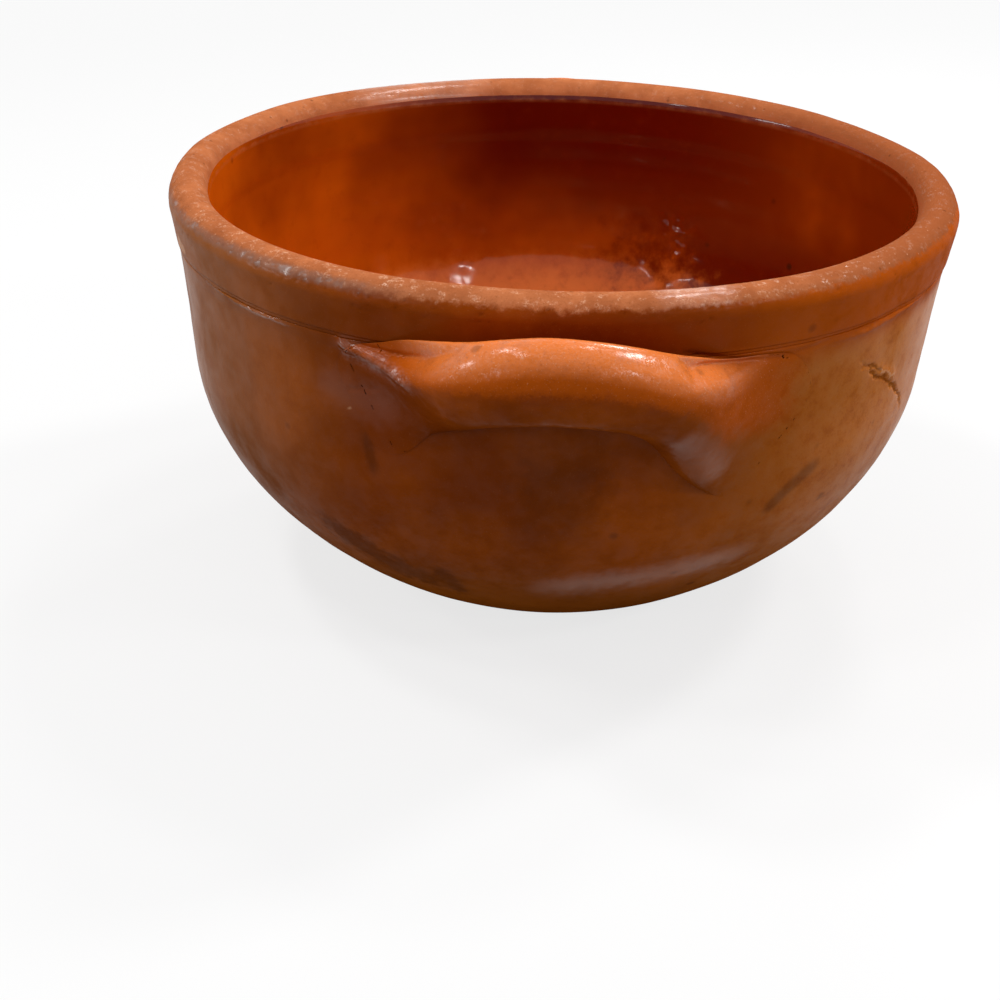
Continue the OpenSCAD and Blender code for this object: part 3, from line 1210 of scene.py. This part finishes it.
class Recipe:
    """One material under construction."""

    def __init__(self, name: str, tree: bpy.types.NodeTree | None = None) -> None:
        """Start an empty material, or work in the tree that is given."""
        self.material = None
        if tree is None:
            self.material = bpy.data.materials.new(name)
            self.material.use_nodes = True
            tree = self.material.node_tree
        self.tree = tree
        self.tree.nodes.clear()
        self.place = self.node("ShaderNodeTexCoord", {}, {}).outputs["Object"]
        split = self.node("ShaderNodeSeparateXYZ", {}, {"Vector": self.place})
        self.x, self.y, self.z = (Amount(self, split.outputs[k]) for k in "XYZ")
        self.azimuth = self.x._math("ARCTAN2", self.x, 0 - self.y) * (180 / math.pi)
        self.radius = (self.x * self.x + self.y * self.y) ** 0.5

    def node(self, kind: str, settings: dict, inputs: dict) -> bpy.types.Node:
        """Add one node.

        Args:
            kind: Its type.
            settings: Its properties, set first; a list of stops is a ramp's.
            inputs: Values or links of its sockets, by name or place.

        Returns:
            The new node.
        """
        made = self.tree.nodes.new(kind)
        for key, value in settings.items():
            if key == "stops":
                ramp = made.color_ramp
                while len(ramp.elements) < len(value):
                    ramp.elements.new(1)
                for element, (position, colour) in zip(ramp.elements, value):
                    element.position = position
                    element.color = (*colour, 1)
            else:
                setattr(made, key, value)
        for key, value in inputs.items():
            socket = made.inputs[key]
            if isinstance(value, Amount):
                self.tree.links.new(value.socket, socket)
            elif isinstance(value, bpy.types.NodeSocket):
                self.tree.links.new(value, socket)
            elif isinstance(value, tuple) and socket.type == "RGBA":
                socket.default_value = (*value, 1) if len(value) == 3 else value
            else:
                socket.default_value = value
        return made

    def stretched(self, across: float, up: float) -> bpy.types.NodeSocket:
        """The place scaled across and up, for patterns that run down the wall."""
        made = self.node(
            "ShaderNodeVectorMath",
            {"operation": "MULTIPLY"},
            {0: self.place, 1: (across, across, up)},
        )
        return made.outputs["Vector"]

    def noise(
        self,
        size: float,
        detail: float = 3,
        rough: float = 0.55,
        seed: float = 0,
        vector: bpy.types.NodeSocket | None = None,
    ) -> Amount:
        """Cloudy pattern from 0 to 1, about 0.5.

        Args:
            size: Size of its clouds in metres.
            detail: How many finer layers it has.
            rough: How strong they are.
            seed: Moves the pattern.
            vector: Where it is read, the plain place if None.

        Returns:
            The pattern.
        """
        made = self.node(
            "ShaderNodeTexNoise",
            {"noise_dimensions": "4D"},
            {
                "Vector": vector or self.place,
                "W": seed,
                "Scale": 1 / size,
                "Detail": detail,
                "Roughness": rough,
            },
        )
        return Amount(self, made.outputs[0])

    def specks(self, size: float, share: float, seed: float = 0) -> Amount:
        """Round specks, 1 in their middle.

        Args:
            size: Size of the cells in metres; a speck fills about a third of one.
            share: How many of the cells have a speck.
            seed: Moves the pattern.

        Returns:
            The pattern, 0 between the specks.
        """
        cells = self.node(
            "ShaderNodeTexVoronoi",
            {"voronoi_dimensions": "4D"},
            {"Vector": self.place, "W": seed, "Scale": 1 / size, "Randomness": 1.0},
        )
        round_spot = Amount(self, cells.outputs["Distance"]).rise(0.34, 0.12)
        pick = self.node("ShaderNodeSeparateColor", {}, {"Color": cells.outputs["Color"]})
        return round_spot * Amount(self, pick.outputs[0]).rise(1 - share, 1.02 - share)

    def seen(self) -> Amount:
        """1 where a place is seen straight, in a reflection or through glass, else 0."""
        path = self.node("ShaderNodeLightPath", {}, {})
        straight, mirrored, through = (
            Amount(self, path.outputs[f"Is {kind} Ray"])
            for kind in ("Camera", "Glossy", "Transmission")
        )
        return straight.above(mirrored).above(through)

    def mark(self, name: str) -> Amount:
        """Number that the piece's points carry under that name."""
        made = self.node("ShaderNodeAttribute", {"attribute_name": name}, {})
        return Amount(self, made.outputs["Fac"])

    def mix(self, share: Amount | float, first: Shade, second: Shade) -> bpy.types.NodeSocket:
        """Colour between two, the second where share is 1."""
        made = self.node(
            "ShaderNodeMix",
            {"data_type": "RGBA"},
            {"Factor": share, 6: first, 7: second},
        )
        return made.outputs[2]

    def blend(self, share: Amount, first: Look, second: Look) -> Look:
        """Look between two, the second where share is 1."""
        return Look(
            self.mix(share, first.colour, second.colour),
            first.roughness + share * (second.roughness - first.roughness),
            first.coat + share * (second.coat - first.coat),
            first.relief + share * (second.relief - first.relief),
        )

    def finish(self, look: Look, coat_roughness: float) -> bpy.types.Material:
        """Give the look to the surface.

        Args:
            look: The look; its relief is in metres.
            coat_roughness: How blurred the glaze's reflections are.

        Returns:
            The finished material.
        """
        bump = self.node(
            "ShaderNodeBump", {}, {"Strength": 1.0, "Distance": 1.0, "Height": look.relief}
        )
        surface = self.node(
            "ShaderNodeBsdfPrincipled",
            {},
            {
                "Base Color": look.colour,
                "Roughness": look.roughness,
                "Coat Weight": look.coat,
                "Coat Roughness": coat_roughness,
                "Coat IOR": GLAZE_INDEX,
                "Specular IOR Level": CLAY_GLOSS,
                "Normal": bump.outputs["Normal"],
            },
        )
        output = self.node("ShaderNodeOutputMaterial", {}, {"Surface": surface.outputs[0]})
        output.is_active_output = True
        return self.material


# Finishes


@dataclass(frozen=True)
class OuterWash:
    """Thin glossy wash over the red clay of the wall and the handles."""

    clay: Colour = paint(172, 80, 12)
    deep: Colour = paint(134, 56, 6)
    # Painted light and shade: the next two colours paint the lit coil top and the right side brighter, the
    # three after them paint light and reflection on the sides, the deep red after them paints shade on the
    # band, and the dark brown after that serves dark stains and painted shade under the handle.
    warm: Colour = paint(188, 84, 12)
    lit: Colour = paint(230, 122, 54)
    painted_sheen_tan: Colour = paint(216, 128, 44)
    painted_light_ruddy: Colour = paint(198, 88, 8)
    painted_sheen_olive: Colour = paint(146, 86, 30)
    painted_shade_red: Colour = paint(104, 24, 1)
    soot_and_shade: Colour = paint(72, 32, 8)
    pale: Colour = paint(236, 176, 130)

    def look(self, recipe: Recipe) -> Look:
        """Colour, gloss and relief of the wash, with the marks that the piece carries."""
        clouds = recipe.noise(34 * MM, 3, 0.55, 1.0)
        mottle = recipe.noise(4.5 * MM, 5, 0.62, 2.0)
        grain = recipe.noise(0.55 * MM, 3, 0.65, 3.0)
        crumbs = recipe.noise(0.34 * MM, 2, 0.7, 8.0)
        runs = recipe.noise(1, 3, 0.5, 4.0, recipe.stretched(95.0, 18.0))
        warm = recipe.mark("warm")
        rubbed = recipe.mark("rubbed")
        edge = warm * (1 - warm) * 4
        warm = warm + edge * ((mottle - 0.5) * 1.3 + (grain - 0.5) * 1.0)
        colour = recipe.mix(clouds.rise(0.34, 0.66), self.deep, self.clay)
        colour = recipe.mix(runs.rise(0.45, 0.7) * 0.35, colour, self.deep)
        below_seam = recipe.z.rise(92 * MM, 84 * MM)
        # Painted light and reflection: the right side painted brighter above the seam and paler below it as
        # a sheen, the lower belly painted paler as a reflection of the floor, and the left painted greyer
        # as a reflection of the room.
        facing = recipe.y.rise(34 * MM, -26 * MM)
        right = recipe.mix(below_seam, self.painted_light_ruddy, self.painted_sheen_tan)
        colour = recipe.mix(recipe.x.rise(14 * MM, 82 * MM) * facing * 0.8, colour, right)
        colour = recipe.mix(recipe.z.rise(42 * MM, 12 * MM) * 0.35, colour, self.painted_sheen_tan)
        colour = recipe.mix(recipe.x.rise(-34 * MM, -86 * MM) * facing * 0.7, colour, self.painted_sheen_olive)
        # Painted shade: the band between the lip and the handle painted deep red.
        colour = recipe.mix(recipe.mark("shaded") * 0.7, colour, self.painted_shade_red)
        # Painted light: the lit coil top, its pads and the right side painted brighter and more orange.
        colour = recipe.mix(warm.rise(0, 1), colour, self.warm)
        # Painted light: the upward-facing top of the coil painted in the lit colour.
        colour = recipe.mix((rubbed + (mottle - 0.5) * 0.5) * rubbed.rise(0, 0.3), colour, self.lit)
        colour = recipe.mix(mottle.rise(0.5, 0.75) * 0.3, colour, self.deep)
        colour = recipe.mix(grain.rise(0.52, 0.75) * (0.16 + warm * 0.14), colour, self.deep)
        # Dark stains and runs, together with painted shade under the handle.
        soot_and_painted_shade = recipe.mark("dark") * (0.4 + mottle * 1.2)
        soot_and_painted_shade = soot_and_painted_shade.rise(0.1, 0.9).above(recipe.mark("smoked") * 0.8)
        colour = recipe.mix(soot_and_painted_shade * 0.42, colour, self.soot_and_shade)
        # Pale marks, partly dust and partly painted sheen.
        dusty = recipe.mark("dusty") * (0.3 + grain * 1.3)
        colour = recipe.mix(dusty.rise(0.3, 0.9) * 0.45, colour, self.pale)
        # Pale flecks of grain, with more of them on the painted-lit coil top as a partly painted highlight.
        flecks = crumbs.rise(0.6, 0.72) * (0.06 + warm.rise(0.3, 0.9) * 0.2 + rubbed * 0.24)
        colour = recipe.mix(flecks, colour, self.pale)
        spots = recipe.specks(5 * MM, 0.1, 7.0)
        colour = recipe.mix(spots * 0.4, colour, self.soot_and_shade)
        hollow = recipe.mark("hollow")
        colour = recipe.mix(hollow.rise(0.1, 0.8) * 0.35, colour, self.soot_and_shade)
        relief = (mottle - 0.5) * (0.05 * MM) + (grain - 0.5) * (0.03 * MM)
        relief = relief + flecks * (0.03 * MM) - spots * (0.05 * MM)
        glazed = (crumbs + (mottle - 0.5) * 0.5).rise(0.42, 0.56)
        coat = (0.04 + mottle.rise(0.6, 0.35) * 0.08) * recipe.z.rise(14 * MM, 48 * MM)
        hazy = recipe.x.size().rise(38 * MM, 88 * MM) * below_seam * recipe.z.rise(14 * MM, 48 * MM)
        hazy_band = recipe.x.rise(-20 * MM, -80 * MM) * (1 - below_seam)
        coat = coat + (hazy * 0.25 + hazy_band * 0.2) * clouds.rise(0.3, 0.6)
        coat = coat.above(recipe.mark("satin") * 0.4)
        coat = coat.above(recipe.mark("wet") * (0.15 + glazed * 0.85)) * (1 - hollow)
        return Look(colour, 0.45 + (mottle - 0.5) * 0.3, coat, relief)


@dataclass(frozen=True)
class WornLip:
    """Bare, rubbed clay of the lip, pitted and dusty."""

    clay: Colour = paint(198, 118, 74)
    dusty: Colour = paint(226, 168, 132)
    rubbed: Colour = paint(152, 80, 44)
    pit: Colour = paint(84, 44, 24)

    def look(self, recipe: Recipe) -> Look:
        """Colour, gloss and relief of the bare clay."""
        clouds = recipe.noise(8 * MM, 4, 0.6, 11.0)
        grain = recipe.noise(0.5 * MM, 3, 0.65, 12.0)
        dust = recipe.noise(1.8 * MM, 5, 0.7, 13.0)
        front = recipe.y.rise(20 * MM, -70 * MM) * 0.75 + 0.25
        right = recipe.x.rise(20 * MM, 96 * MM)
        colour = recipe.mix(0.4 + clouds.rise(0.3, 0.7) * 0.6, self.rubbed, self.clay)
        crust = dust.rise(0.5, 0.66) * grain.rise(0.6, 0.42) * front
        colour = recipe.mix(crust * 0.75, colour, self.dusty)
        colour = recipe.mix(grain.rise(0.52, 0.7) * front * 0.5, colour, self.rubbed)
        # Painted shade: the right side of the lip painted darker.
        colour = recipe.mix(right * (0.5 + clouds * 0.5), colour, self.rubbed)
        flecks = recipe.specks(0.8 * MM, 0.25, 14.0) * front
        colour = recipe.mix(flecks * 0.6, colour, self.dusty)
        spots = recipe.specks(1.8 * MM, 0.16, 15.0)
        colour = recipe.mix(spots * 0.5, colour, self.pit)
        relief = (grain - 0.5) * (0.06 * MM) + (dust - 0.5) * (0.14 * MM)
        relief = relief - spots * (0.08 * MM) + flecks * (0.03 * MM)
        coat = dust.rise(0.52, 0.62) * grain.rise(0.55, 0.4) * 0.45
        splash = recipe.azimuth.rise(-170, -160) * recipe.azimuth.rise(-136, -146)
        shine = recipe.azimuth.rise(11, 15) * recipe.azimuth.rise(24, 20)
        coat = coat.above(splash.above(shine) * dust.rise(0.34, 0.46))
        return Look(colour, 0.55 + (grain - 0.5) * 0.4, coat, relief)


@dataclass(frozen=True)
class AmberGlaze:
    """Glossy glaze inside, amber where it is thin and red-brown where it is thick, with painted shade at
    the back and right and painted light on the floor.
    """

    amber: Colour = paint(192, 84, 6)
    brown: Colour = paint(120, 38, 2)
    red: Colour = paint(88, 4, 0)
    painted_floor_light: Colour = paint(232, 132, 60)
    speck: Colour = paint(52, 16, 6)
    reach: float = 100 * MM

    def look(self, recipe: Recipe) -> Look:
        """Colour, gloss and relief of the glaze."""
        clouds = recipe.noise(38 * MM, 3, 0.5, 21.0)
        mottle = recipe.noise(4 * MM, 4, 0.6, 22.0)
        fine = recipe.noise(0.8 * MM, 2, 0.5, 23.0)
        # Painted shade: darker towards the back right and higher up, on top of the cloudy thickness.
        back_right = (recipe.x + recipe.y * 0.8) * (0.2 / self.reach)
        upper = recipe.z.rise(48 * MM, 86 * MM) * 0.2
        thick = (clouds * 0.8 + back_right + upper).rise(0.34, 0.78)
        colour = recipe.mix(thick, self.amber, self.brown)
        # Painted shade: the upper back wall and a band low on the right painted deep red.
        back = recipe.y.rise(50 * MM, 86 * MM) * recipe.z.rise(56 * MM, 88 * MM)
        back = back * recipe.x.rise(-62 * MM, -8 * MM)
        drift = clouds + mottle - 1
        height, across = recipe.z + drift * (9 * MM), recipe.x + drift * (50 * MM)
        low = across.rise(6 * MM, 44 * MM) * recipe.z.rise(84 * MM, 54 * MM)
        low = low * height.rise(26 * MM, 48 * MM)
        colour = recipe.mix((back * 0.95).above(low * 0.9), colour, self.red)
        # Painted light and reflection: the floor and the low back wall painted pale.
        floor = height.rise(55 * MM, 41 * MM)
        floor = floor * across.rise(48 * MM, 12 * MM).above(height.rise(46 * MM, 24 * MM))
        colour = recipe.mix(floor * 0.8, colour, self.painted_floor_light)
        colour = recipe.mix(mottle.rise(0.5, 0.8) * 0.22, colour, self.brown)
        spots = recipe.specks(4.6 * MM, 0.05, 24.0)
        colour = recipe.mix(spots * 0.8, colour, self.speck)
        relief = (mottle - 0.5) * (0.04 * MM) + (fine - 0.5) * (0.006 * MM) + spots * (0.04 * MM)
        coat = 0.45 - fine.rise(0.6, 0.8) * 0.1 - floor * 0.2
        return Look(colour, 0.34 + (mottle - 0.5) * 0.1, coat, relief)


@dataclass(frozen=True)
class Finishes:
    """The finishes of the pieces, sharing one wash, one bare clay and one glaze."""

    form: BowlForm
    wash: OuterWash = field(default_factory=OuterWash)
    bare: WornLip = field(default_factory=WornLip)
    glaze: AmberGlaze = field(default_factory=AmberGlaze)
    scuff_and_sheen: Colour = paint(138, 102, 88)

    def lip_angle(self, recipe: Recipe) -> Amount:
        """Angle round the lip's section in degrees: 0 outside, 90 on top."""
        centre_r, centre_z = self.form.lip_centre
        up, out = recipe.z - float(centre_z), recipe.radius - float(centre_r)
        return up._math("ARCTAN2", up, out) * (180 / math.pi)

    def washed(self, name: str, coat_roughness: float) -> bpy.types.Material:
        """Wash alone, as on the body and the handles."""
        recipe = Recipe(name)
        return recipe.finish(self.wash.look(recipe), coat_roughness)

    def rim(self) -> bpy.types.Material:
        """Wash on the outside and bare clay on the lip, scuffed at its left front, where part of the
        grey-lilac is a painted sheen.
        """
        recipe = Recipe("worn_rim")
        ragged = (recipe.noise(3 * MM, 5, 0.7, 31.0) - 0.5) * 70
        angle = self.lip_angle(recipe)
        worn = (angle + ragged).rise(20, 42)
        look = recipe.blend(worn, self.wash.look(recipe), self.bare.look(recipe))
        scuffed = recipe.azimuth.rise(-90, -66) * recipe.azimuth.rise(-12, -32)
        edge = (angle + ragged * 0.5 - 36).size().rise(26, 6) * scuffed
        chipped = recipe.mark("hollow").rise(0.05, 0.5)
        # Grey-lilac scuffs at the left front of the lip, partly a painted sheen.
        look.colour = recipe.mix(edge * (0.55 + chipped * 0.3), look.colour, self.scuff_and_sheen)
        look.coat = look.coat.above(edge * chipped * 0.8)
        return recipe.finish(look, 0.26)

    def inside(self) -> bpy.types.Material:
        """Glaze, wiped thin over the bare clay at the lip."""
        recipe = Recipe("amber_glaze")
        ragged = (recipe.noise(4 * MM, 4, 0.6, 41.0) - 0.5) * 30
        up = 180 - self.lip_angle(recipe).size() + ragged
        middle = float(self.form.lip_centre[1])
        wiped = up.rise(2, 24) * recipe.z.rise(middle - 2 * MM, middle)
        look = recipe.blend(wiped, self.glaze.look(recipe), self.bare.look(recipe))
        return recipe.finish(look, 0.09)


# Studio


@dataclass(frozen=True)
class Softbox:
    """One soft lamp, seen from the bowl."""

    name: str
    azimuth: float
    elevation: float
    distance: float
    width: float
    depth: float
    power: float
    tint: Colour = (1.0, 1.0, 1.0)

    def place(self, target: Vector) -> bpy.types.Object:
        """Hang the lamp so that it faces the target."""
        lamp = bpy.data.lights.new(self.name, "AREA")
        lamp.shape, lamp.size, lamp.size_y = "RECTANGLE", self.width, self.depth
        lamp.energy, lamp.color = self.power, self.tint
        stand = bpy.data.objects.new(self.name, lamp)
        bpy.context.scene.collection.objects.link(stand)
        a, e = math.radians(self.azimuth), math.radians(self.elevation)
        back = Vector((math.sin(a) * math.cos(e), -math.cos(a) * math.cos(e), math.sin(e)))
        stand.location = target + back * self.distance
        stand.rotation_euler = back.to_track_quat("Z", "Y").to_euler()
        return stand


@dataclass(frozen=True)
class PhotoCamera:
    """The photograph's viewpoint, found by fitting the rim and the outline."""

    distance: float = 417.6 * MM
    tilt: float = 15.63
    roll: float = 1.66
    axis_x: float = 548.3
    axis_y: float = 160.3
    frame: float = 1000
    lens: float = 57.6
    sensor: float = 36

    def place(self, form: BowlForm) -> bpy.types.Object:
        """Stand the camera so that the axis of the rim falls on its pixel."""
        focal = self.lens / self.sensor * self.frame
        tilt, roll = math.radians(self.tilt), math.radians(self.roll)
        spot = Vector((0, -math.cos(tilt), math.sin(tilt))) * self.distance
        spot.z += form.height
        forward = Vector((0, math.cos(tilt), -math.sin(tilt)))
        right = Vector((1, 0, 0))
        up = right.cross(forward)
        half = self.frame / 2
        across, rise = (self.axis_x - half) / focal, (half - self.axis_y) / focal
        yaw = -math.atan(across)
        forward, right = (
            forward * math.cos(yaw) + right * math.sin(yaw),
            right * math.cos(yaw) - forward * math.sin(yaw),
        )
        pitch = -math.atan(rise * math.cos(yaw))
        forward, up = (
            forward * math.cos(pitch) + up * math.sin(pitch),
            up * math.cos(pitch) - forward * math.sin(pitch),
        )
        right, up = (
            right * math.cos(roll) + up * math.sin(roll),
            up * math.cos(roll) - right * math.sin(roll),
        )
        data = bpy.data.cameras.new("photo_camera")
        data.lens, data.sensor_width = self.lens, self.sensor
        data.clip_start, data.clip_end = 0.01, 20
        camera = bpy.data.objects.new("photo_camera", data)
        bpy.context.scene.collection.objects.link(camera)
        turn = Matrix((right, up, -forward)).transposed().to_4x4()
        camera.matrix_world = Matrix.Translation(spot) @ turn
        bpy.context.scene.camera = camera
        return camera


@dataclass(frozen=True)
class Studio:
    """Plain pale floor, pale surroundings and soft lamps."""

    floor_size: float = 8.0
    floor_shown: float = 0.88
    floor_bounce: float = 0.25
    floor_glow: float = 0.75
    room_light: float = 0.32
    lamps: tuple[Softbox, ...] = (
        Softbox("window_behind", 160, 34, 0.8, 0.12, 0.08, 0.9),
        Softbox("tall_window", 114, 46, 1.0, 0.15, 0.22, 3.7),
        Softbox("skylight", 140, 65, 1.0, 0.16, 0.12, 1.4),
        Softbox("window_right", 60, 32, 1.0, 0.15, 0.1, 1.4),
        Softbox("glint_right", 40, 27, 1.0, 0.05, 0.02, 0.3),
        Softbox("window_left", -88, 30, 1.0, 0.12, 0.12, 1.1),
        Softbox("glint_left", -80, 12, 1.0, 0.25, 0.06, 0.7),
        Softbox("glint_front", -44, 19, 1.0, 0.1, 0.06, 0.5),
        Softbox("fold_left", -98, 61, 1.0, 0.16, 0.12, 2.2),
        Softbox("fold_front", -46, 62, 1.0, 0.16, 0.12, 1.1),
        Softbox("ceiling", 0, 84, 1.2, 1.0, 1.0, 0.5),
    )

    def build(self) -> None:
        """Lay the floor, set the world and hang the lamps."""
        Bench.clear()
        bpy.ops.mesh.primitive_plane_add(size=self.floor_size)
        floor = bpy.context.object
        floor.name = floor.data.name = "studio_floor"
        floor.data.materials.append(self.floor_paint())
        self.surroundings()
        for lamp in self.lamps:
            lamp.place(Vector((0, 0, 60 * MM)))
        bpy.context.scene.view_settings.view_transform = "Standard"

    def floor_paint(self) -> bpy.types.Material:
        """Matt floor: pale where it is seen, darker for the light that it throws back."""
        recipe = Recipe("pale_floor")
        shown = (self.floor_shown,) * 3
        bounce = (self.floor_bounce,) * 3
        seen = recipe.seen()
        matt = recipe.node("ShaderNodeBsdfDiffuse", {}, {"Color": recipe.mix(seen, bounce, shown)})
        glow = recipe.node("ShaderNodeEmission", {}, {"Color": (1.0, 1.0, 1.0), "Strength": 1.0})
        share = self.floor_glow + recipe.radius.rise(0.3, 1.4) * (1 - self.floor_glow)
        both = recipe.node(
            "ShaderNodeMixShader", {}, {0: seen * share, 1: matt.outputs[0], 2: glow.outputs[0]}
        )
        recipe.node("ShaderNodeOutputMaterial", {}, {"Surface": both.outputs[0]})
        return recipe.material

    def surroundings(self) -> None:
        """White where the room is seen, a plain grey for the light that falls on the bowl."""
        world = bpy.data.worlds.new("pale_room")
        bpy.context.scene.world = world
        world.use_nodes = True
        recipe = Recipe("pale_room", world.node_tree)
        level = self.room_light + recipe.seen() * (1 - self.room_light)
        back = recipe.node("ShaderNodeBackground", {}, {"Color": (1.0, 1.0, 1.0), "Strength": level})
        recipe.node("ShaderNodeOutputWorld", {}, {"Surface": back.outputs[0]})


def main() -> None:
    """Build the bowl piece by piece and light it."""
    logging.basicConfig(level=logging.INFO, format="%(name)s: %(message)s")
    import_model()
    form = BowlForm.of_frame()
    PhotoCamera().place(form)
    Studio().build()
    hand = PottersHand(form)
    finishes = Finishes(form)
    coil_finish = finishes.washed("washed_coil", 0.24)
    plans = (
        (Body(form, hand), "bowl_body", Slot.BODY, finishes.washed("washed_clay", 0.14)),
        (RimBand(form, hand), "rim_band", Slot.RIM, finishes.rim()),
        (CoilHandle(form, hand, Side.FRONT), "front_handle", Slot.HANDLE, coil_finish),
        (CoilHandle(form, hand, Side.REAR), "rear_handle", Slot.HANDLE, coil_finish),
        (Glaze(form, hand), "inner_glaze", Slot.GLAZE, finishes.inside()),
    )
    for maker, node, slot, finish in plans:
        piece = maker.build()
        piece.data.materials.append(finish)
        seat(piece, node)


if __name__ == "__main__":
    main()
